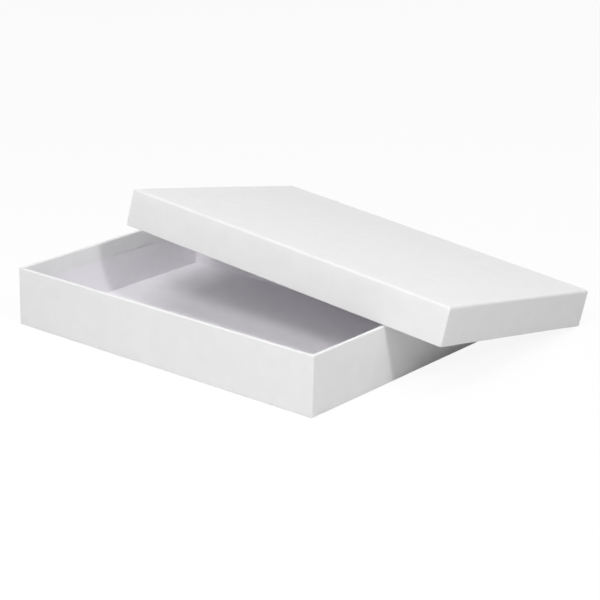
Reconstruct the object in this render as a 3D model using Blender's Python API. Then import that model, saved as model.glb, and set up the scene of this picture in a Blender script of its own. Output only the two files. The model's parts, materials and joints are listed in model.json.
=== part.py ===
"""A two-piece presentation box: a shallow tray with a lift-off lid, in white paper over greyboard.

The lid lies askew on the open tray. Its left skirt crosses the tray's back wall, its front skirt
crosses the right wall, and its back right corner reaches down to the table. The origin is the centre
of the tray's underside. X runs along the tray's long side, Y from its front wall to its back wall,
and Z up. All lengths are in metres.
"""

import math

import bmesh
import bpy
import numpy as np
from mathutils import Euler, Matrix, Vector

# The tray, outside
BASE_LENGTH = 0.220
BASE_WIDTH = 0.155
BASE_HEIGHT = 0.035

# The lid: the depth of its skirt, and the running clearance to the tray on each side
LID_HEIGHT = 0.0225
LID_CLEARANCE = 0.0005

# The thickness of each layer, and of the glue between two of them
BOARD = 0.0015
WRAP = 0.00015
LINER = 0.00015
STAY = 0.0001
GLUE = 0.00005

# Folds and corners of the wrap paper, measured outside
CORNER_RADIUS = 0.0008
INSIDE_CORNER_RADIUS = 0.0003
BASE_FOLD_RADIUS = 0.001
LID_FOLD_RADIUS = 0.0016
RIM_FOLD_RADIUS = 0.0006
TURN_IN = 0.010

# The liner's fold where floor and wall meet
LINER_FOLD_RADIUS = 0.0006

# The board: its eased cut edge, and the slit between two neighbouring walls at each corner
BOARD_EDGE = 0.0002
CORNER_SLIT = 0.0002

# The tape strips round the board's corners: the width of one leg, and how far short of a fold they stop
STAY_LEG = 0.018
STAY_MARGIN = 0.0005

# How the lid lies: where its middle is over the tray, how far it is turned, and the gap at each contact
LID_SHIFT_X = 0.0312
LID_SHIFT_Y = 0.0605
LID_TURN = math.radians(1.35)
REST_GAP = 0.00015

# How far a cutter runs past what it cuts
OVERRUN = 0.001

# Straight pieces in a quarter circle, in a section and in the plan view
FOLD_STEPS = 4
CORNER_STEPS = 4
SMOOTH_ANGLE = math.radians(35)

# The layers outside the board on a wall, those over its flat side and its rim, and those inside it
OUTSIDE_LAYERS = WRAP + GLUE + STAY + GLUE
FLAT_LAYERS = WRAP + GLUE
INSIDE_LAYERS = GLUE + LINER + GLUE + WRAP
WALL = OUTSIDE_LAYERS + BOARD + INSIDE_LAYERS
PANEL = FLAT_LAYERS + BOARD + GLUE + LINER

LID_LENGTH = BASE_LENGTH + 2 * (LID_CLEARANCE + WALL)
LID_WIDTH = BASE_WIDTH + 2 * (LID_CLEARANCE + WALL)

# Each corner's side of the tray along X and along Y, and the angle at which its rounding starts
CORNERS = {
    "back_right": (1, 1, 0),
    "back_left": (-1, 1, 90),
    "front_left": (-1, -1, 180),
    "front_right": (1, -1, 270),
}


def clear_scene():
    for thing in list(bpy.data.objects):
        bpy.data.objects.remove(thing)


def paper(name, colour, roughness):
    """A matt, non-metallic material in one linear colour."""
    material = bpy.data.materials.new(name)
    material.use_nodes = True
    surface = material.node_tree.nodes["Principled BSDF"]
    surface.inputs["Base Color"].default_value = (*colour, 1)
    surface.inputs["Roughness"].default_value = roughness
    surface.inputs["Metallic"].default_value = 0
    return material


def quarter(inset, height, radius, start):
    """A quarter circle about (inset, height), clockwise from the angle start in degrees."""
    angles = [math.radians(start - 90 * step / FOLD_STEPS) for step in range(FOLD_STEPS + 1)]
    return [(inset + radius * math.cos(a), height + radius * math.sin(a)) for a in angles]


def ring(length, width, inset):
    """The plan outline of a tray at one inset from its outside, anticlockwise, with round corners."""
    radius = max(CORNER_RADIUS - inset, INSIDE_CORNER_RADIUS)
    points = []
    for sign_x, sign_y, start in CORNERS.values():
        centre_x = sign_x * (length / 2 - inset - radius)
        centre_y = sign_y * (width / 2 - inset - radius)
        for step in range(CORNER_STEPS + 1):
            angle = math.radians(start + 90 * step / CORNER_STEPS)
            points.append((centre_x + radius * math.cos(angle), centre_y + radius * math.sin(angle)))
    return points


def tray_mesh(name, length, width, profile):
    """A closed tray: one ring for each (inset, height) of the profile, and a flat cap at either end."""
    mesh = bpy.data.meshes.new(name)
    shape = bmesh.new()
    rings = []
    for inset, height in profile:
        rings.append([shape.verts.new((x, y, height)) for x, y in ring(length, width, inset)])
    for lower, upper in zip(rings, rings[1:]):
        for index, corner in enumerate(lower):
            after = (index + 1) % len(lower)
            shape.faces.new((corner, lower[after], upper[after], upper[index]))
    shape.faces.new(reversed(rings[0]))
    shape.faces.new(rings[-1])
    shape.to_mesh(mesh)
    shape.free()
    return mesh


def wrap_profile(height, fold):
    """The cover paper: the flat side, the wall outside, over the rim and down to the turn-in's edge."""
    rim = height - RIM_FOLD_RADIUS
    inner_rim = WALL - RIM_FOLD_RADIUS
    outside = quarter(fold, fold, fold, 270)
    outside += quarter(RIM_FOLD_RADIUS, rim, RIM_FOLD_RADIUS, 180)
    outside += quarter(inner_rim, rim, RIM_FOLD_RADIUS, 90)
    outside += [(WALL, height - TURN_IN)]
    inside = quarter(fold, fold, fold - WRAP, 270)
    inside += quarter(RIM_FOLD_RADIUS, rim, RIM_FOLD_RADIUS - WRAP, 180)
    inside += quarter(inner_rim, rim, RIM_FOLD_RADIUS - WRAP, 90)
    inside += [(WALL - WRAP, height - TURN_IN)]
    return outside + inside[::-1]


def board_profile(height, fold):
    """The greyboard, with a bent outer fold, an eased rim and a square inner corner."""
    bend = fold - OUTSIDE_LAYERS
    rim = height - FLAT_LAYERS
    inner_face = OUTSIDE_LAYERS + BOARD
    section = quarter(OUTSIDE_LAYERS + bend, FLAT_LAYERS + bend, bend, 270)
    section += [(OUTSIDE_LAYERS, rim - BOARD_EDGE), (OUTSIDE_LAYERS + BOARD_EDGE, rim)]
    section += [(inner_face - BOARD_EDGE, rim), (inner_face, rim - BOARD_EDGE)]
    section += [(inner_face, FLAT_LAYERS + BOARD)]
    return section


def liner_profile(height):
    """The inner paper, from the floor up the wall to just under the rim's fold."""
    face = OUTSIDE_LAYERS + BOARD + GLUE
    floor = FLAT_LAYERS + BOARD + GLUE
    edge = height - RIM_FOLD_RADIUS
    fold = LINER_FOLD_RADIUS
    below = quarter(face + fold, floor + fold, fold, 270)
    above = quarter(face + fold, floor + fold, fold - LINER, 270)
    return below + [(face, edge), (face + LINER, edge)] + above[::-1]


def stay_mesh(name, low, high):
    """A strip of tape folded round a corner at the origin, its legs along -X and -Y."""
    outer = WRAP + GLUE
    inner = outer + STAY
    outline = []
    for inset in (outer, inner):
        radius = CORNER_RADIUS - inset
        centre = -inset - radius
        bend = [(-inset, -STAY_LEG)]
        for step in range(CORNER_STEPS + 1):
            angle = math.radians(90 * step / CORNER_STEPS)
            bend.append((centre + radius * math.cos(angle), centre + radius * math.sin(angle)))
        bend.append((-STAY_LEG, -inset))
        outline += bend if inset == outer else bend[::-1]
    mesh = bpy.data.meshes.new(name)
    shape = bmesh.new()
    bottom = shape.faces.new([shape.verts.new((x, y, low)) for x, y in outline])
    grown = bmesh.ops.extrude_face_region(shape, geom=[bottom])
    tops = [item for item in grown["geom"] if isinstance(item, bmesh.types.BMVert)]
    bmesh.ops.translate(shape, verts=tops, vec=(0, 0, high - low))
    bmesh.ops.recalc_face_normals(shape, faces=shape.faces)
    shape.to_mesh(mesh)
    shape.free()
    return mesh


def slit_cutter(name, length, width, height):
    """Four upright blades on the corners' bisectors, which part the board's walls down to the floor."""
    mesh = bpy.data.meshes.new(name)
    shape = bmesh.new()
    low = FLAT_LAYERS + BOARD / 2
    high = height + OVERRUN
    inset = OUTSIDE_LAYERS + BOARD / 2
    reach = BOARD * math.sqrt(2) + 2 * OVERRUN
    for sign_x, sign_y, start in CORNERS.values():
        middle = (sign_x * (length / 2 - inset), sign_y * (width / 2 - inset), (low + high) / 2)
        place = Matrix.Translation(middle)
        turn = Matrix.Rotation(math.radians(start + 45), 4, "Z")
        size = Matrix.Diagonal((reach, CORNER_SLIT, high - low, 1))
        bmesh.ops.create_cube(shape, size=1, matrix=place @ turn @ size)
    shape.to_mesh(mesh)
    shape.free()
    cutter = bpy.data.objects.new(name, mesh)
    cutter.hide_render = True
    cutter.display_type = "WIRE"
    return cutter


def add_piece(name, mesh, material, carrier, place=(0, 0, 0), turn=0):
    mesh.shade_smooth()
    mesh.set_sharp_from_angle(angle=SMOOTH_ANGLE)
    if not mesh.materials:
        mesh.materials.append(material)
    piece = bpy.data.objects.new(name, mesh)
    piece.location = place
    piece.rotation_euler = (0, 0, turn)
    piece.parent = carrier
    bpy.context.collection.objects.link(piece)
    return piece


def add_half(name, length, width, height, fold, carrier, upside_down, materials):
    """The seven pieces of one half of the box, with its rim up or, for the lid, down at height zero."""
    flip = Matrix()
    if upside_down:
        flip = Matrix.Rotation(math.pi, 4, "X") @ Matrix.Translation((0, 0, -height))
    profiles = {
        "board": board_profile(height, fold),
        "liner": liner_profile(height),
        "wrap": wrap_profile(height, fold),
    }
    pieces = {}
    for layer, profile in profiles.items():
        mesh = tray_mesh(f"{name}_{layer}", length, width, profile)
        mesh.transform(flip)
        pieces[layer] = add_piece(f"{name}_{layer}", mesh, materials[layer], carrier)

    cutter = slit_cutter(f"{name}_board_slits", length, width, height)
    cutter.data.transform(flip)
    cutter.parent = carrier
    bpy.context.collection.objects.link(cutter)
    slits = pieces["board"].modifiers.new("corner slits", "BOOLEAN")
    slits.operation = "DIFFERENCE"
    slits.object = cutter

    low = fold + STAY_MARGIN
    high = height - RIM_FOLD_RADIUS - STAY_MARGIN
    if upside_down:
        low, high = height - high, height - low
    strip = stay_mesh(f"{name}_corner_stay", low, high)
    for corner, (sign_x, sign_y, start) in CORNERS.items():
        place = (sign_x * length / 2, sign_y * width / 2, 0)
        turn = math.radians(start)
        add_piece(f"{name}_corner_stay_{corner}", strip, materials["stay"], carrier, place, turn)


def lid_place(tilt_x, tilt_y, rise_share):
    """The lid's turn and its rim's middle, for two tilts and a height as a share of the tray's."""
    turn = Euler((tilt_x, tilt_y, LID_TURN)).to_matrix()
    return turn, Vector((LID_SHIFT_X, LID_SHIFT_Y, rise_share * BASE_HEIGHT))


def contact_gaps(tilt_x, tilt_y, rise_share):
    """How far each of the lid's three contacts still is from its seat, less the gap kept there."""
    turn, middle = lid_place(tilt_x, tilt_y, rise_share)
    skirt_x = -BASE_LENGTH / 2 - LID_CLEARANCE
    skirt_y = -BASE_WIDTH / 2 - LID_CLEARANCE
    # The lower inner edge of the left skirt, where it crosses the back wall's outer face
    along = (BASE_WIDTH / 2 - middle.y - turn[1][0] * skirt_x) / turn[1][1]
    left = (middle + turn @ Vector((skirt_x, along, 0))).z - BASE_HEIGHT
    # The lower inner edge of the front skirt, where it crosses the right wall's outer face
    along = (BASE_LENGTH / 2 - middle.x - turn[0][1] * skirt_y) / turn[0][0]
    front = (middle + turn @ Vector((along, skirt_y, 0))).z - BASE_HEIGHT
    # The lid's back right corner over the table, and its panel over the tray's back right corner
    corner = (middle + turn @ Vector((LID_LENGTH / 2, LID_WIDTH / 2, 0))).z
    tray_corner = Vector((BASE_LENGTH / 2, BASE_WIDTH / 2, BASE_HEIGHT))
    panel = LID_HEIGHT - PANEL - (turn.transposed() @ (tray_corner - middle)).z
    return np.array((left, front, min(corner, panel))) / BASE_HEIGHT - REST_GAP / BASE_HEIGHT


def settle_lid():
    """Lets the lid down on its three contacts by Newton's method, from level on the tray's rim."""
    pose = np.array((0.0, 0.0, 1.0))
    probe_share = 1e-5
    rounds = 30
    for _ in range(rounds):
        gaps = contact_gaps(*pose)
        probes = np.eye(3) * probe_share
        slopes = [(contact_gaps(*(pose + probe)) - gaps) / probe_share for probe in probes]
        pose = pose - np.linalg.solve(np.transpose(slopes), gaps)
    turn, middle = lid_place(*pose)
    return Matrix.Translation(middle) @ turn.to_4x4()


def main():
    clear_scene()
    materials = {
        "board": paper("greyboard", (0.33, 0.30, 0.26), 0.9),
        "liner": paper("white lining paper", (0.80, 0.80, 0.81), 0.75),
        "wrap": paper("white cover paper", (0.86, 0.86, 0.87), 0.6),
        "stay": paper("corner tape", (0.52, 0.40, 0.26), 0.8),
    }
    lid = bpy.data.objects.new("lid_lift", None)
    bpy.context.collection.objects.link(lid)
    lid.matrix_world = settle_lid()
    add_half("base", BASE_LENGTH, BASE_WIDTH, BASE_HEIGHT, BASE_FOLD_RADIUS, None, False, materials)
    add_half("lid", LID_LENGTH, LID_WIDTH, LID_HEIGHT, LID_FOLD_RADIUS, lid, True, materials)


main()
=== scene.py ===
import json
import math

import bpy
from mathutils import Matrix, Vector


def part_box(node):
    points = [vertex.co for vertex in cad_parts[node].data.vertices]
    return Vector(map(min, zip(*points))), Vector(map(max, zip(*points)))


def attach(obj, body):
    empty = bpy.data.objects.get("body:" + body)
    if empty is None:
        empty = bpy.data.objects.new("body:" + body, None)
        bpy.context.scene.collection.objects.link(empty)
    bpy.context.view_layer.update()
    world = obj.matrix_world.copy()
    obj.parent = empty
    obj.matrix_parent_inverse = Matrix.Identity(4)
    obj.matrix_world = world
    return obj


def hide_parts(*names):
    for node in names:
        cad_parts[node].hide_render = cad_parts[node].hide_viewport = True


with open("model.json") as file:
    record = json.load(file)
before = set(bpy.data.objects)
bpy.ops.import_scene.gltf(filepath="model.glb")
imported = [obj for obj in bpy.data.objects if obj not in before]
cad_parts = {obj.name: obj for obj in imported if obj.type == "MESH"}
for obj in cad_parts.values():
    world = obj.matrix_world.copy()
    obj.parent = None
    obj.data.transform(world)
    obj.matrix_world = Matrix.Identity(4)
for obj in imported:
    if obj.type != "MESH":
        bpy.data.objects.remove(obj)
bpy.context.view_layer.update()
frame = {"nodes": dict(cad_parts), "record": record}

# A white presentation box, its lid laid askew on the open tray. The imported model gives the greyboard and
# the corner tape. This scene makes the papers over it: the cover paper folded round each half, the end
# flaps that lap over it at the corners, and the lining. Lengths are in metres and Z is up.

MM = 0.001

# The tray's outside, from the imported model
tray_low, tray_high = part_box("base_wrap")
TRAY_LENGTH, TRAY_WIDTH, TRAY_DEPTH = tray_high - tray_low

# The papers' layers: where the wall's inner face and the lining lie, seen from the outside face
PAPER = 0.15 * MM
WALL = 2.25 * MM
LINING_FACE = 1.90 * MM
LINING_FLOOR = 1.75 * MM

# The lid goes over the tray with half a millimetre to spare on each side
LID_CLEARANCE = 0.5 * MM
LID_LENGTH = TRAY_LENGTH + 2 * (LID_CLEARANCE + WALL)
LID_WIDTH = TRAY_WIDTH + 2 * (LID_CLEARANCE + WALL)
LID_DEPTH = 22.5 * MM
LID_TURN = math.radians(1.35)

# Folds, measured on the outside of the paper
TRAY_FOLD = 1.0 * MM
LID_FOLD = 1.6 * MM
RIM_FOLD = 0.6 * MM
LINING_FOLD = 0.6 * MM
CORNER_RADIUS = 0.8 * MM
INSIDE_CORNER_RADIUS = 0.3 * MM
TURN_IN = 10 * MM

# The end flaps: how far short of the corner they are cut, and how long the tabs under them are
FLAP_MARGIN = 1.2 * MM
FLAP_START = 3.0 * MM
FLAP_EMBED = 0.12 * MM
FLAP_RISE = 0.11 * MM
FLAP_SINK = 0.05 * MM
TAB_LENGTH = 14 * MM
TAB_EASE = 3 * MM
MITRE_MARGIN = 0.4 * MM
MITRE_SLANT = 0.35

# Paper that has dried on its board stands off it here and there
COCKLE = 0.09 * MM
COCKLE_SIZE = 34 * MM
LINING_COCKLE = 0.05 * MM
LID_CROWN = 0.25 * MM
TRAY_SEED = 3.0
LID_SEED = 8.0

# How near a fold or the rim the waves die out, and how near the panel a flap's rise does
CALM_START = 1 * MM
CALM_END = 7 * MM
RISE_START = 0.2 * MM
RISE_END = 2 * MM

# How finely the folds, corners and flat stretches are cut up
FOLD_STEPS = 7
CORNER_STEPS = 7
SIDE_STEPS = 36
FLAT_STEP = 5 * MM
FLAP_STEPS = 97
CLOSE = 0.01 * MM
CREASE_ANGLE = math.radians(40)

# Surfaces. The pulp's clouds and, as fibres of 0.03 mm are too fine to show here, tufts of felt; the board's
# clouds, its flecks of old print and its felt; the tape's clouds and the ribs of the machine's wire
PULP_CLOUD = 9 * MM
PAPER_FELT = 1.4 * MM
PAPER_RELIEF = 0.012 * MM
BOARD_CLOUD = 12 * MM
FLECK_SPACING = 3 * MM
BOARD_FELT = 1.0 * MM
BOARD_RELIEF = 0.03 * MM
TAPE_CLOUD = 5 * MM
TAPE_RIB = 1.2 * MM
TAPE_RELIEF = 0.02 * MM
WAVES_PER_SCALE = 20

# The floor: its own colour, and how much of what the camera sees of it is plain white
FLOOR_GREY = "#E1E1E1"
BACKDROP_SHARE = 0.9
FLOOR_REACH = 4.0

# The point of the box that the lamps hang round, and each one's name, azimuth, elevation, distance, size
# and watts
LAMPS_AIM = (0.02, 0.03, 0.02)
LAMPS = (
    ("right_softbox", 73, 40, 1.6, 0.18, 6.8),
    ("front_softbox", 14, 47, 1.8, 0.35, 7.2),
    ("near_left_softbox", 0, 30, 0.8, 0.5, 1.1),
    ("near_right_softbox", 25, 35, 0.8, 0.6, 1.1),
    ("overhead_softbox", 0, 85, 2.0, 1.6, 9.3),
    ("left_softbox", -75, 48, 2.0, 1.6, 2.2),
    ("far_right_softbox", 100, 60, 2.0, 1.6, 2.6),
    ("back_softbox", 180, 50, 2.0, 1.6, 4.9),
    ("low_back_softbox", 180, 12, 2.0, 0.8, 4.9),
    ("low_left_softbox", -95, 12, 2.0, 0.8, 4.7),
)
GLOW = 0.03

# The camera, fitted to the photograph's edges
CAMERA_PLACE = (0.68548, -0.81379, 0.38726)
CAMERA_AZIMUTH, CAMERA_ELEVATION, CAMERA_ROLL = math.radians(38.47), math.radians(18.99), math.radians(1.175)
CAMERA_LENS = 115.79
FILM_WIDTH = 36


def add(tree, kind, inputs=None, **settings):
    """Adds a node with its settings, and sets its inputs to values or feeds them from other nodes."""
    node = tree.nodes.new(kind)
    for name, value in settings.items():
        setattr(node, name, value)
    for name, value in (inputs or {}).items():
        if isinstance(value, bpy.types.Node):
            value = next(output for output in value.outputs if output.enabled)
        if isinstance(value, bpy.types.NodeSocket):
            tree.links.new(value, node.inputs[name])
        else:
            node.inputs[name].default_value = value
    return node


def new_tree(name, takes, gives):
    """An empty geometry tree with named inputs and outputs, and what its inputs hand on."""
    tree = bpy.data.node_groups.new(name, "GeometryNodeTree")
    for direction, sockets in (("INPUT", takes), ("OUTPUT", gives)):
        for label, kind in sockets.items():
            tree.interface.new_socket(name=label, in_out=direction, socket_type="NodeSocket" + kind)
    return tree, add(tree, "NodeGroupInput").outputs


def run_ahead(tree, place):
    """How far each point of a curve is from the one after it."""
    after = add(tree, "ShaderNodeMath", {0: add(tree, "GeometryNodeInputIndex"), 1: 1.0}, operation="ADD")
    after = add(tree, "GeometryNodeFieldAtIndex", {"Index": after, "Value": place}, data_type="FLOAT_VECTOR")
    return add(tree, "ShaderNodeVectorMath", {0: place, 1: after}, operation="DISTANCE").outputs["Value"]


def cockle_tree():
    """How far the dried paper stands off its board, outwards from its visible face."""
    tree, given = new_tree(
        "cockled paper",
        {"Cockle": "Float", "Size": "Float", "Seed": "Float", "On Panel": "Float", "Crown": "Float",
         "Length": "Float", "Width": "Float", "Depth": "Float"},
        {"Offset": "Vector"},
    )
    section = add(tree, "ShaderNodeSeparateXYZ", {0: add(tree, "GeometryNodeInputNamedAttribute",
                  {"Name": "section"}, data_type="FLOAT_VECTOR")})
    height = section.outputs["Z"]
    place = add(tree, "GeometryNodeInputPosition")

    # Waves of a few centimetres, which die out at the folds and, where it stands on the table, at the panel
    waves = add(tree, "ShaderNodeTexNoise", {
        "Vector": place, "W": given["Seed"], "Detail": 1.0, "Roughness": 0.4,
        "Scale": add(tree, "ShaderNodeMath", {0: 1.0, 1: given["Size"]}, operation="DIVIDE")},
        noise_dimensions="4D")
    above_fold = add(tree, "ShaderNodeMapRange", {
        "Value": height, "From Min": CALM_START, "From Max": CALM_END,
        "To Min": given["On Panel"], "To Max": 1.0}, interpolation_type="SMOOTHSTEP")
    below_rim = add(tree, "ShaderNodeMapRange", {
        "Value": add(tree, "ShaderNodeMath", {0: given["Depth"], 1: height}, operation="SUBTRACT"),
        "From Min": CALM_START, "From Max": CALM_END}, interpolation_type="SMOOTHSTEP")
    stand_off = add(tree, "ShaderNodeMath", {0: waves.outputs[0], 1: above_fold}, operation="MULTIPLY")
    stand_off = add(tree, "ShaderNodeMath", {0: stand_off, 1: below_rim}, operation="MULTIPLY")
    stand_off = add(tree, "ShaderNodeMath", {0: stand_off, 1: given["Cockle"]}, operation="MULTIPLY")

    # The panel's crown, highest in the middle and nothing at the four folds
    size = add(tree, "ShaderNodeCombineXYZ", {"X": given["Length"], "Y": given["Width"], "Z": 1.0})
    share = add(tree, "ShaderNodeVectorMath", {0: place, 1: size}, operation="DIVIDE")
    share = add(tree, "ShaderNodeSeparateXYZ", {0: share})
    dome = given["Crown"]
    for axis in ("X", "Y"):
        across = share.outputs[axis]
        squared = add(tree, "ShaderNodeMath", {0: across, 1: across}, operation="MULTIPLY")
        fall = add(tree, "ShaderNodeMath", {0: squared, 1: -4.0, 2: 1.0}, operation="MULTIPLY_ADD")
        fall = add(tree, "ShaderNodeMath", {0: fall, 1: 0.0}, operation="MAXIMUM")
        dome = add(tree, "ShaderNodeMath", {0: dome, 1: fall}, operation="MULTIPLY")

    total = add(tree, "ShaderNodeMath", {0: stand_off, 1: dome}, operation="ADD")
    side = add(tree, "GeometryNodeInputNamedAttribute", {"Name": "side"}, data_type="FLOAT")
    total = add(tree, "ShaderNodeMath", {0: total, 1: side}, operation="MULTIPLY")
    offset = add(tree, "ShaderNodeVectorMath", {0: add(tree, "GeometryNodeInputNormal"), "Scale": total},
                 operation="SCALE")
    add(tree, "NodeGroupOutput", {0: offset})
    return tree


def rounded_section(tree, section, steps, spacing):
    """The drawn section as a curve: rounded at its folds, cut up on its flats, and remembering its place."""
    curve = add(tree, "GeometryNodeMeshToCurve", {0: section})
    fold = add(tree, "GeometryNodeInputNamedAttribute", {"Name": "fold"}, data_type="FLOAT")
    curve = add(tree, "GeometryNodeFilletCurve", {0: curve, "Radius": fold, "Count": steps}, mode="POLY")
    place = add(tree, "GeometryNodeInputPosition")
    cuts = add(tree, "ShaderNodeMath", {0: run_ahead(tree, place), 1: spacing}, operation="DIVIDE")
    curve = add(tree, "GeometryNodeSubdivideCurve", {0: curve, "Cuts": cuts})
    return add(tree, "GeometryNodeStoreNamedAttribute", {0: curve, "Name": "section", "Value": place},
               data_type="FLOAT_VECTOR")


def cockled(tree, cockle, given):
    """The cockled paper's stand-off, fed from this tree's own inputs."""
    stand_off = add(tree, "GeometryNodeGroup", node_tree=cockle)
    for name in ("Cockle", "Seed", "On Panel", "Crown", "Length", "Width", "Depth"):
        tree.links.new(given[name], stand_off.inputs[name])
    tree.links.new(given["Cockle Size"], stand_off.inputs["Size"])
    return stand_off


def wrapped_tray_tree(cockle):
    """A section of paper, its inset drawn as X and its height as Z, is carried round a rectangular tray."""
    tree, given = new_tree(
        "paper wrapped round a tray",
        {"Section": "Geometry", "Length": "Float", "Width": "Float", "Depth": "Float",
         "Corner Radius": "Float", "Inside Radius": "Float", "Fold Steps": "Int", "Corner Steps": "Int",
         "Side Steps": "Int",
         "Spacing": "Float", "Cockle": "Float", "Cockle Size": "Float", "Seed": "Float", "On Panel": "Float",
         "Crown": "Float", "Close": "Float", "Paper": "Material"},
        {"Wrapped": "Geometry"},
    )
    section = rounded_section(tree, given["Section"], given["Fold Steps"], given["Spacing"])

    # A square four units wide with round corners of one unit: each point's nearest corner is then the
    # point clamped to one unit, and what is left over is the way that the paper faces there
    plan = add(tree, "GeometryNodeCurvePrimitiveQuadrilateral", {"Width": 4.0, "Height": 4.0})
    plan = add(tree, "GeometryNodeFilletCurve", {0: plan, "Radius": 1.0, "Count": given["Corner Steps"]},
               mode="POLY")
    place = add(tree, "GeometryNodeInputPosition")
    straight = add(tree, "ShaderNodeMath", {0: run_ahead(tree, place), 1: 1.0}, operation="GREATER_THAN")
    cuts = add(tree, "ShaderNodeMath", {0: straight, 1: given["Side Steps"]}, operation="MULTIPLY")
    plan = add(tree, "GeometryNodeSubdivideCurve", {0: plan, "Cuts": cuts})
    plan = add(tree, "GeometryNodeStoreNamedAttribute", {0: plan, "Name": "plan", "Value": place},
               data_type="FLOAT_VECTOR")
    sheet = add(tree, "GeometryNodeCurveToMesh", {"Curve": plan, "Profile Curve": section})
    sheet = add(tree, "GeometryNodeFlipFaces", {0: sheet})

    # Where each point of the section goes at each point of the way round
    plan = add(tree, "GeometryNodeInputNamedAttribute", {"Name": "plan"}, data_type="FLOAT_VECTOR")
    corner = add(tree, "ShaderNodeVectorMath", {0: plan, 1: (-1, -1, -1)}, operation="MAXIMUM")
    corner = add(tree, "ShaderNodeVectorMath", {0: corner, 1: (1, 1, 1)}, operation="MINIMUM")
    facing = add(tree, "ShaderNodeVectorMath", {0: plan, 1: corner}, operation="SUBTRACT")
    section = add(tree, "GeometryNodeInputNamedAttribute", {"Name": "section"}, data_type="FLOAT_VECTOR")
    section = add(tree, "ShaderNodeSeparateXYZ", {0: section})
    inset = section.outputs["X"]
    radius = add(tree, "ShaderNodeMath", {0: given["Corner Radius"], 1: inset}, operation="SUBTRACT")
    radius = add(tree, "ShaderNodeMath", {0: radius, 1: given["Inside Radius"]}, operation="MAXIMUM")
    half_width = add(tree, "ShaderNodeMath", {0: given["Width"], 1: 2.0}, operation="DIVIDE")
    to_middle = add(tree, "ShaderNodeMath", {0: half_width, 1: inset}, operation="SUBTRACT")
    radius = add(tree, "ShaderNodeMath", {0: radius, 1: to_middle}, operation="MINIMUM")
    pulled_in = add(tree, "ShaderNodeMath", {0: inset, 1: radius}, operation="ADD")
    half_length = add(tree, "ShaderNodeMath", {0: given["Length"], 1: 2.0}, operation="DIVIDE")
    reach = add(tree, "ShaderNodeVectorMath", {
        0: add(tree, "ShaderNodeCombineXYZ", {"X": half_length, "Y": half_width}),
        1: add(tree, "ShaderNodeCombineXYZ", {"X": pulled_in, "Y": pulled_in})}, operation="SUBTRACT")
    reach = add(tree, "ShaderNodeVectorMath", {0: corner, 1: reach}, operation="MULTIPLY")
    rounding = add(tree, "ShaderNodeVectorMath", {0: facing, "Scale": radius}, operation="SCALE")
    place = add(tree, "ShaderNodeVectorMath", {0: reach, 1: rounding}, operation="ADD")
    height = add(tree, "ShaderNodeCombineXYZ", {"Z": section.outputs["Z"]})
    place = add(tree, "ShaderNodeVectorMath", {0: place, 1: height}, operation="ADD")
    sheet = add(tree, "GeometryNodeSetPosition", {0: sheet, "Position": place})
    sheet = add(tree, "GeometryNodeMergeByDistance", {0: sheet, "Distance": given["Close"]})

    sheet = add(tree, "GeometryNodeSetPosition", {0: sheet, "Offset": cockled(tree, cockle, given)})
    sheet = add(tree, "GeometryNodeSetShadeSmooth", {0: sheet})
    sheet = add(tree, "GeometryNodeRealizeInstances", {0: sheet})
    sheet = add(tree, "GeometryNodeSetMaterial", {0: sheet, "Material": given["Paper"]})
    add(tree, "NodeGroupOutput", {0: sheet})
    return tree


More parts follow.
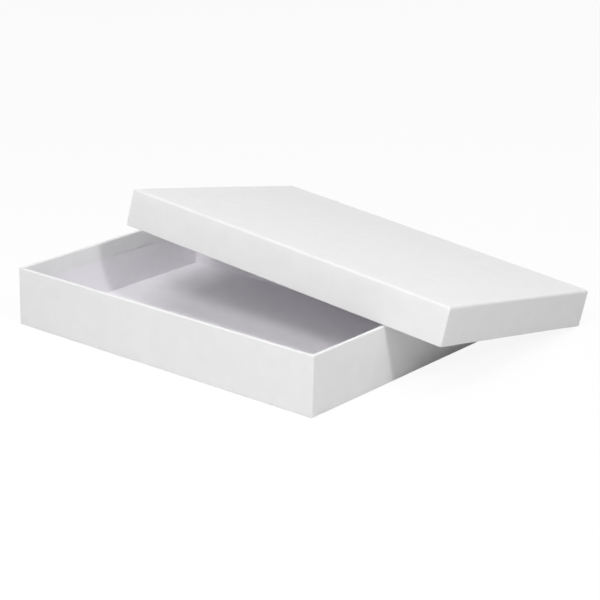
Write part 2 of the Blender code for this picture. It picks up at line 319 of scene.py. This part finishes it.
def end_flap_tree(cockle):
    """The two end flaps: just under the cover paper's face, and lifted by the tabs below at the corners."""
    tree, given = new_tree(
        "end flaps",
        {"Section": "Geometry", "Length": "Float", "Width": "Float", "Depth": "Float", "Wall": "Float",
         "Margin": "Float", "Mitre Margin": "Float", "Slant": "Float", "Tab Length": "Float",
         "Tab Ease": "Float", "Rise": "Float", "Sink": "Float", "Fold Steps": "Int",
         "Flap Steps": "Int", "Spacing": "Float",
         "Cockle": "Float", "Cockle Size": "Float", "Seed": "Float", "On Panel": "Float", "Crown": "Float",
         "Paper": "Material"},
        {"Flaps": "Geometry"},
    )
    section = rounded_section(tree, given["Section"], given["Fold Steps"], given["Spacing"])
    across = add(tree, "GeometryNodeCurvePrimitiveLine", {"Start": (0, -1, 0), "End": (0, 1, 0)})
    across = add(tree, "GeometryNodeResampleCurve", {0: across, "Count": given["Flap Steps"]}, mode="COUNT")
    place = add(tree, "GeometryNodeInputPosition")
    across = add(tree, "GeometryNodeStoreNamedAttribute", {0: across, "Name": "plan", "Value": place},
                 data_type="FLOAT_VECTOR")
    flap = add(tree, "GeometryNodeCurveToMesh", {
        "Curve": across, "Profile Curve": section, "Fill Caps": True})
    flap = add(tree, "GeometryNodeFlipFaces", {0: flap})

    # The flap's ends: cut short of the corners, mitred over the rim and slanted below it
    plan = add(tree, "GeometryNodeInputNamedAttribute", {"Name": "plan"}, data_type="FLOAT_VECTOR")
    section = add(tree, "GeometryNodeInputNamedAttribute", {"Name": "section"}, data_type="FLOAT_VECTOR")
    section = add(tree, "ShaderNodeSeparateXYZ", {0: section})
    inset, height = section.outputs["X"], section.outputs["Z"]
    mitre = add(tree, "ShaderNodeMath", {0: inset, 1: given["Mitre Margin"]}, operation="ADD")
    above = add(tree, "ShaderNodeMath", {0: height, 1: given["Wall"]}, operation="GREATER_THAN")
    mitre = add(tree, "ShaderNodeMath", {0: mitre, 1: above}, operation="MULTIPLY")
    short = add(tree, "ShaderNodeMath", {0: mitre, 1: given["Margin"]}, operation="MAXIMUM")
    below_rim = add(tree, "ShaderNodeMath", {0: given["Depth"], 1: height}, operation="SUBTRACT")
    slant = add(tree, "ShaderNodeMath", {0: below_rim, 1: given["Slant"]}, operation="MULTIPLY")
    half_wall = add(tree, "ShaderNodeMath", {0: given["Wall"], 1: 2.0}, operation="DIVIDE")
    inside = add(tree, "ShaderNodeMath", {0: inset, 1: half_wall}, operation="GREATER_THAN")
    inside = add(tree, "ShaderNodeMath", {0: inside, 1: above}, operation="MULTIPLY")
    short = add(tree, "ShaderNodeMath", {0: slant, 1: inside, 2: short}, operation="MULTIPLY_ADD")
    half_width = add(tree, "ShaderNodeMath", {0: given["Width"], 1: 2.0}, operation="DIVIDE")
    half_length = add(tree, "ShaderNodeMath", {0: given["Length"], 1: 2.0}, operation="DIVIDE")
    reach = add(tree, "ShaderNodeMath", {0: half_width, 1: short}, operation="SUBTRACT")
    share = add(tree, "ShaderNodeSeparateXYZ", {0: plan}).outputs["Y"]
    place = add(tree, "ShaderNodeCombineXYZ", {
        "X": add(tree, "ShaderNodeMath", {0: half_length, 1: inset}, operation="SUBTRACT"),
        "Y": add(tree, "ShaderNodeMath", {0: share, 1: reach}, operation="MULTIPLY"), "Z": height})
    flap = add(tree, "GeometryNodeSetPosition", {0: flap, "Position": place})

    # One flap for each end of the tray
    ends = add(tree, "GeometryNodeMeshLine", {"Count": 2, "Offset": (0, 0, 0)})
    half_turn = add(tree, "ShaderNodeMath", {0: add(tree, "GeometryNodeInputIndex"), 1: math.pi},
                    operation="MULTIPLY")
    turned = add(tree, "ShaderNodeCombineXYZ", {"Z": half_turn})
    flaps = add(tree, "GeometryNodeInstanceOnPoints", {"Points": ends, "Instance": flap, "Rotation": turned})
    flaps = add(tree, "GeometryNodeRealizeInstances", {0: flaps})

    # Proud of the cover paper over a tab, just under its face elsewhere, and never below the panel
    from_corner = add(tree, "ShaderNodeMath", {0: half_width, 1: add(tree, "ShaderNodeMath", {
        0: add(tree, "ShaderNodeSeparateXYZ", {0: add(tree, "GeometryNodeInputPosition")}).outputs["Y"]},
        operation="ABSOLUTE")}, operation="SUBTRACT")
    tab_end = add(tree, "ShaderNodeMath", {0: given["Tab Length"], 1: given["Tab Ease"]}, operation="ADD")
    over_tab = add(tree, "ShaderNodeMapRange", {"Value": from_corner, "From Min": given["Tab Length"],
                   "From Max": tab_end, "To Min": 1.0, "To Max": 0.0}, interpolation_type="SMOOTHSTEP")
    off_panel = add(tree, "ShaderNodeMapRange", {
        "Value": height, "From Min": RISE_START, "From Max": RISE_END}, interpolation_type="SMOOTHSTEP")
    over_tab = add(tree, "ShaderNodeMath", {0: over_tab, 1: off_panel}, operation="MULTIPLY")
    lift = add(tree, "ShaderNodeMapRange", {"Value": over_tab, "To Max": given["Rise"],
               "To Min": add(tree, "ShaderNodeMath", {0: given["Sink"], 1: -1.0}, operation="MULTIPLY")})
    side = add(tree, "GeometryNodeInputNamedAttribute", {"Name": "side"}, data_type="FLOAT")
    lift = add(tree, "ShaderNodeMath", {0: lift, 1: side}, operation="MULTIPLY")
    lift = add(tree, "ShaderNodeVectorMath", {0: add(tree, "GeometryNodeInputNormal"), "Scale": lift},
               operation="SCALE")
    lift = add(tree, "ShaderNodeVectorMath", {0: lift, 1: cockled(tree, cockle, given)}, operation="ADD")
    flaps = add(tree, "GeometryNodeSetPosition", {0: flaps, "Offset": lift})
    flaps = add(tree, "GeometryNodeSetShadeSmooth", {0: flaps})
    flaps = add(tree, "GeometryNodeRealizeInstances", {0: flaps})
    flaps = add(tree, "GeometryNodeSetMaterial", {0: flaps, "Material": given["Paper"]})
    add(tree, "NodeGroupOutput", {0: flaps})
    return tree


def cover_section(width, depth, fold):
    """The cover paper from the panel's middle, up the wall, over the rim, down to its edge, and back."""
    low = depth - TURN_IN
    seen = [(width / 2, 0, 0), (0, 0, fold), (0, depth, RIM_FOLD), (WALL, depth, RIM_FOLD), (WALL, low, 0)]
    back, under = WALL - PAPER, RIM_FOLD - PAPER
    glued = [(back, low, 0), (back, depth - PAPER, under), (PAPER, depth - PAPER, under),
             (PAPER, PAPER, fold - PAPER), (width / 2, PAPER, 0)]
    return [(*point, 1) for point in seen] + [(*point, -1) for point in glued]


def lining_section(width, depth):
    """The lining from the panel's middle up to just under the rim, its glued side first."""
    top = depth - RIM_FOLD
    face, floor = LINING_FACE, LINING_FLOOR
    glued = [(width / 2, floor, 0), (face, floor, LINING_FOLD), (face, top, 0)]
    seen = [(face + PAPER, top, 0), (face + PAPER, floor + PAPER, LINING_FOLD - PAPER),
            (width / 2, floor + PAPER, 0)]
    return [(*point, -1) for point in glued] + [(*point, 1) for point in seen]


def flap_section(depth, fold):
    """An end flap from just under the panel to its turn-in's edge, as a closed outline."""
    low = depth - TURN_IN
    seen = [(FLAP_START, 0, 0), (0, 0, fold), (0, depth, RIM_FOLD), (WALL, depth, RIM_FOLD), (WALL, low, 0)]
    back, under = WALL - FLAP_EMBED, RIM_FOLD - FLAP_EMBED
    hidden = [(back, low, 0), (back, depth - FLAP_EMBED, under), (FLAP_EMBED, depth - FLAP_EMBED, under),
              (FLAP_EMBED, FLAP_EMBED, fold - FLAP_EMBED), (FLAP_START, FLAP_EMBED, 0)]
    return [(*point, 1) for point in seen] + [(*point, -1) for point in hidden]


def grow(name, section, tree, sizes, place, closed=False):
    """Draws a section, lets the tree make the piece from it, and puts the plain mesh in its place."""
    drawn = bpy.data.meshes.new(name + "_section")
    count = len(section)
    edges = [(index, index + 1) for index in range(count - 1)]
    if closed:
        edges.append((count - 1, 0))
    drawn.from_pydata([(inset, 0, height) for inset, height, *_ in section], edges, [])
    for label, column in (("fold", 2), ("side", 3)):
        values = [point[column] for point in section]
        drawn.attributes.new(label, "FLOAT", "POINT").data.foreach_set("value", values)
    maker = bpy.data.objects.new(name + "_section", drawn)
    bpy.context.scene.collection.objects.link(maker)
    modifier = maker.modifiers.new("made from its section", "NODES")
    modifier.node_group = tree
    for socket in tree.interface.items_tree:
        if socket.in_out == "INPUT" and socket.name in sizes:
            modifier[socket.identifier] = sizes[socket.name]
    graph = bpy.context.evaluated_depsgraph_get()
    mesh = bpy.data.meshes.new_from_object(maker.evaluated_get(graph), depsgraph=graph)
    bpy.data.objects.remove(maker)
    mesh.name = name
    mesh.materials.clear()
    mesh.materials.append(sizes["Paper"])
    mesh.polygons.foreach_set("material_index", [0] * len(mesh.polygons))
    for label in ("fold", "side", "plan", "section"):
        mesh.attributes.remove(mesh.attributes[label])
    mesh.set_sharp_from_angle(angle=CREASE_ANGLE)
    mesh.transform(place)
    piece = bpy.data.objects.new(name, mesh)
    bpy.context.scene.collection.objects.link(piece)
    return piece


def linear(code):
    """The linear colour of an sRGB hex value."""
    shares = [int(code[start:start + 2], 16) / 255 for start in (1, 3, 5)]
    return (*(s / 12.92 if s <= 0.04045 else ((s + 0.055) / 1.055) ** 2.4 for s in shares), 1.0)


def new_material(name, roughness, ior, **more):
    """A material with its surface shader, whose even values are set on the shader itself."""
    material = bpy.data.materials.new(name)
    material.use_nodes = True
    tree = material.node_tree
    surface = tree.nodes["Principled BSDF"]
    surface.inputs["Roughness"].default_value = roughness
    surface.inputs["IOR"].default_value = ior
    surface.inputs["Metallic"].default_value = 0.0
    for label, value in more.items():
        surface.inputs[label.replace("_", " ")].default_value = value
    return material, tree, surface


def wood_free_paper(name, light, dark):
    """Uncoated wood-free paper, calendered smooth. The pulp's cloudy formation makes it faintly mottled, and
    its felted fibres keep it matt, with a bloom at a grazing angle and no clear highlight."""
    material, tree, surface = new_material(name, 0.6, 1.5, Diffuse_Roughness=0.25)
    place = add(tree, "ShaderNodeTexCoord").outputs["Object"]
    clouds = add(tree, "ShaderNodeTexNoise", {
        "Vector": place, "Scale": 1 / PULP_CLOUD, "Detail": 3.0, "Roughness": 0.55})
    tone = add(tree, "ShaderNodeMapRange", {"Value": clouds.outputs[0], "From Min": 0.3, "From Max": 0.7})
    colour = add(tree, "ShaderNodeMix", {0: tone, 6: linear(dark), 7: linear(light)}, data_type="RGBA")
    tree.links.new(colour.outputs[2], surface.inputs["Base Color"])
    felt = add(tree, "ShaderNodeTexNoise", {
        "Vector": place, "Scale": 1 / PAPER_FELT, "Detail": 4.0, "Roughness": 0.6})
    bump = add(tree, "ShaderNodeBump", {"Height": felt.outputs[0], "Strength": 0.6, "Distance": PAPER_RELIEF})
    tree.links.new(bump.outputs[0], surface.inputs["Normal"])
    return material


def grey_board():
    """Greyboard, pressed from waste paper: a dull brownish grey with paler and darker flecks of old print."""
    material, tree, surface = new_material("greyboard_pressed_from_waste_paper", 0.9, 1.45,
                                           Diffuse_Roughness=0.8)
    place = add(tree, "ShaderNodeTexCoord").outputs["Object"]
    clouds = add(tree, "ShaderNodeTexNoise", {"Vector": place, "Scale": 1 / BOARD_CLOUD, "Detail": 4.0})
    base = add(tree, "ShaderNodeMix", {0: clouds.outputs[0], 6: linear("#8F897F"), 7: linear("#A39D92")},
               data_type="RGBA")
    cells = add(tree, "ShaderNodeTexVoronoi", {"Vector": place, "Scale": 1 / FLECK_SPACING})
    fleck = add(tree, "ShaderNodeMapRange", {"Value": cells.outputs[0], "From Min": 0.1, "From Max": 0.3,
                "To Min": 0.5, "To Max": 0.0})
    colour = add(tree, "ShaderNodeMix", {0: fleck, 6: base.outputs[2], 7: linear("#6E6A66")},
                 data_type="RGBA")
    tree.links.new(colour.outputs[2], surface.inputs["Base Color"])
    felt = add(tree, "ShaderNodeTexNoise", {"Vector": place, "Scale": 1 / BOARD_FELT, "Detail": 5.0})
    bump = add(tree, "ShaderNodeBump", {"Height": felt.outputs[0], "Strength": 0.8, "Distance": BOARD_RELIEF})
    tree.links.new(bump.outputs[0], surface.inputs["Normal"])
    return material


def gummed_tape():
    """Gummed kraft tape: unbleached brown paper, faintly ribbed across by the machine's wire."""
    material, tree, surface = new_material("gummed_kraft_tape", 0.7, 1.48, Diffuse_Roughness=0.5)
    place = add(tree, "ShaderNodeTexCoord").outputs["Object"]
    clouds = add(tree, "ShaderNodeTexNoise", {"Vector": place, "Scale": 1 / TAPE_CLOUD, "Detail": 5.0})
    colour = add(tree, "ShaderNodeMix", {0: clouds.outputs[0], 6: linear("#A98A5F"), 7: linear("#C7A87B")},
                 data_type="RGBA")
    tree.links.new(colour.outputs[2], surface.inputs["Base Color"])
    ribs = add(tree, "ShaderNodeTexWave", {
        "Vector": place, "Scale": 1 / TAPE_RIB / WAVES_PER_SCALE, "Distortion": 2.0},
               bands_direction="Z")
    bump = add(tree, "ShaderNodeBump", {"Height": ribs.outputs[1], "Strength": 0.4, "Distance": TAPE_RELIEF})
    tree.links.new(bump.outputs[0], surface.inputs["Normal"])
    return material


def seen_directly(tree):
    """1 for what the camera sees, directly, in a gloss or through something, and 0 for light that bounces."""
    path = add(tree, "ShaderNodeLightPath")
    seen = add(tree, "ShaderNodeMath", {0: path.outputs["Is Camera Ray"], 1: path.outputs["Is Glossy Ray"]},
               operation="MAXIMUM")
    return add(tree, "ShaderNodeMath", {0: seen, 1: path.outputs["Is Transmission Ray"]}, operation="MAXIMUM")


def backdrop_paint():
    """The studio's matt floor, a pale grey under its lamps. Seen directly or in a reflection it is white, and
    it keeps a faint shadow of the box."""
    material, tree, surface = new_material("matt_pale_grey_floor_paint", 0.9, 1.45, Specular_IOR_Level=0.2)
    surface.inputs["Base Color"].default_value = linear(FLOOR_GREY)
    shadowed = add(tree, "ShaderNodeBsdfDiffuse", {"Color": linear("#FFFFFF")})
    white = add(tree, "ShaderNodeEmission", {"Color": linear("#FFFFFF"), "Strength": 1.0})
    backdrop = add(tree, "ShaderNodeMixShader", {0: BACKDROP_SHARE, 1: shadowed, 2: white})
    both = add(tree, "ShaderNodeMixShader", {0: seen_directly(tree), 1: surface, 2: backdrop})
    tree.links.new(both.outputs[0], tree.nodes["Material Output"].inputs["Surface"])
    return material


def lid_place():
    """From the lid upside down, its panel at height zero, to where it lies: its top is the mount's face."""
    mount = next(m for m in frame["record"]["mounts"] if m["name"] == "lid_top")
    up = Vector(mount["axis"]).normalized()
    along = Vector((math.cos(LID_TURN), math.sin(LID_TURN), 0))
    along.z = -(along.x * up.x + along.y * up.y) / up.z
    along.normalize()
    turned = Matrix((along, up.cross(along), up)).transposed().to_4x4()
    return Matrix.Translation(mount["pos_m"]) @ turned @ Matrix.Rotation(math.pi, 4, "X")


def dress(body, half, length, width, depth, fold, place, seed, crown, on_panel, papers):
    """Puts the papers on one half of the box."""
    wrapped, flaps = papers["trees"]
    sizes = {"Length": length, "Width": width, "Depth": depth, "Corner Radius": CORNER_RADIUS,
             "Inside Radius": INSIDE_CORNER_RADIUS, "Fold Steps": FOLD_STEPS, "Corner Steps": CORNER_STEPS,
             "Side Steps": SIDE_STEPS, "Spacing": FLAT_STEP, "Cockle": COCKLE, "Cockle Size": COCKLE_SIZE,
             "Seed": seed, "On Panel": on_panel, "Crown": crown, "Close": CLOSE, "Paper": papers["cover"],
             "Wall": WALL, "Margin": FLAP_MARGIN, "Mitre Margin": MITRE_MARGIN, "Slant": MITRE_SLANT,
             "Tab Length": TAB_LENGTH, "Tab Ease": TAB_EASE, "Rise": FLAP_RISE, "Sink": FLAP_SINK,
             "Flap Steps": FLAP_STEPS}
    cover = grow(half + "_cover_paper", cover_section(width, depth, fold), wrapped, sizes, place)
    flap = grow(half + "_end_flaps", flap_section(depth, fold), flaps, sizes, place, closed=True)
    sizes.update({"Cockle": LINING_COCKLE, "Crown": 0.0, "On Panel": 1.0, "Seed": seed + 1.0,
                  "Paper": papers["lining"]})
    lining = grow(half + "_lining_paper", lining_section(width, depth), wrapped, sizes, place)
    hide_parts(body + "_wrap")
    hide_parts(body + "_liner")
    for piece, slot in ((cover, "cover_paper"), (flap, "cover_paper"), (lining, "lining_paper")):
        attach(piece, body)


def set_floor():
    """A plain floor much larger than the camera sees."""
    mesh = bpy.data.meshes.new("floor")
    far = FLOOR_REACH
    mesh.from_pydata([(-far, -far, 0), (far, -far, 0), (far, far, 0), (-far, far, 0)], [], [(0, 1, 2, 3)])
    mesh.materials.append(backdrop_paint())
    floor = bpy.data.objects.new("floor", mesh)
    bpy.context.scene.collection.objects.link(floor)


def hang_lamp(name, azimuth, elevation, distance, size, power):
    """A square softbox, turned to the box. Azimuth 0 is in front of the tray and 90 to its right."""
    around, above = math.radians(azimuth), math.radians(elevation)
    back = Vector((math.sin(around) * math.cos(above), -math.cos(around) * math.cos(above), math.sin(above)))
    lamp = bpy.data.lights.new(name, "AREA")
    lamp.size = size
    lamp.energy = power
    holder = bpy.data.objects.new(name, lamp)
    holder.location = Vector(LAMPS_AIM) + back * distance
    holder.rotation_euler = back.to_track_quat("Z", "Y").to_euler()
    bpy.context.scene.collection.objects.link(holder)


def light_studio():
    """Soft white light from the front, the sides and above, some from behind, and a faint even glow."""
    for lamp in LAMPS:
        hang_lamp(*lamp)
    world = bpy.data.worlds.new("studio_glow")
    bpy.context.scene.world = world
    world.use_nodes = True
    tree = world.node_tree
    glow = tree.nodes["Background"]
    glow.inputs["Color"].default_value = linear("#FFFFFF")
    glow.inputs["Strength"].default_value = GLOW
    white = add(tree, "ShaderNodeBackground", {"Color": linear("#FFFFFF"), "Strength": 1.0})
    both = add(tree, "ShaderNodeMixShader", {0: seen_directly(tree), 1: glow, 2: white})
    tree.links.new(both.outputs[0], tree.nodes["World Output"].inputs["Surface"])


def place_camera():
    """The photograph's view: from the right of the front and a little above, with a long lens."""
    lens = bpy.data.cameras.new("camera")
    lens.sensor_width = FILM_WIDTH
    lens.lens = CAMERA_LENS
    camera = bpy.data.objects.new("camera", lens)
    place = Matrix.Translation(CAMERA_PLACE)
    turn = Matrix.Rotation(CAMERA_AZIMUTH, 4, "Z") @ Matrix.Rotation(math.pi / 2 - CAMERA_ELEVATION, 4, "X")
    camera.matrix_world = place @ turn @ Matrix.Rotation(CAMERA_ROLL, 4, "Z")
    bpy.context.scene.collection.objects.link(camera)
    bpy.context.scene.camera = camera


def main():
    cockle = cockle_tree()
    papers = {
        "trees": (wrapped_tray_tree(cockle), end_flap_tree(cockle)),
        "cover": wood_free_paper("white_wood_free_cover_paper", "#ECECEC", "#E9E9E9"),
        "lining": wood_free_paper("white_wood_free_lining_paper", "#EFEDF1", "#EBE9ED"),
    }
    dress("base", "tray", TRAY_LENGTH, TRAY_WIDTH, TRAY_DEPTH, TRAY_FOLD, Matrix(), TRAY_SEED, 0.0, 0.0, papers)
    dress("lid", "lid", LID_LENGTH, LID_WIDTH, LID_DEPTH, LID_FOLD, lid_place(), LID_SEED, LID_CROWN, 1.0, papers)

    board, tape = grey_board(), gummed_tape()
    for name, node in frame["nodes"].items():
        if name.endswith("_board"):
            node.data.materials[0] = board
        elif "corner_stay" in name:
            node.data.materials[0] = tape

    set_floor()
    light_studio()
    place_camera()
    bpy.context.scene.view_settings.view_transform = "Standard"


main()
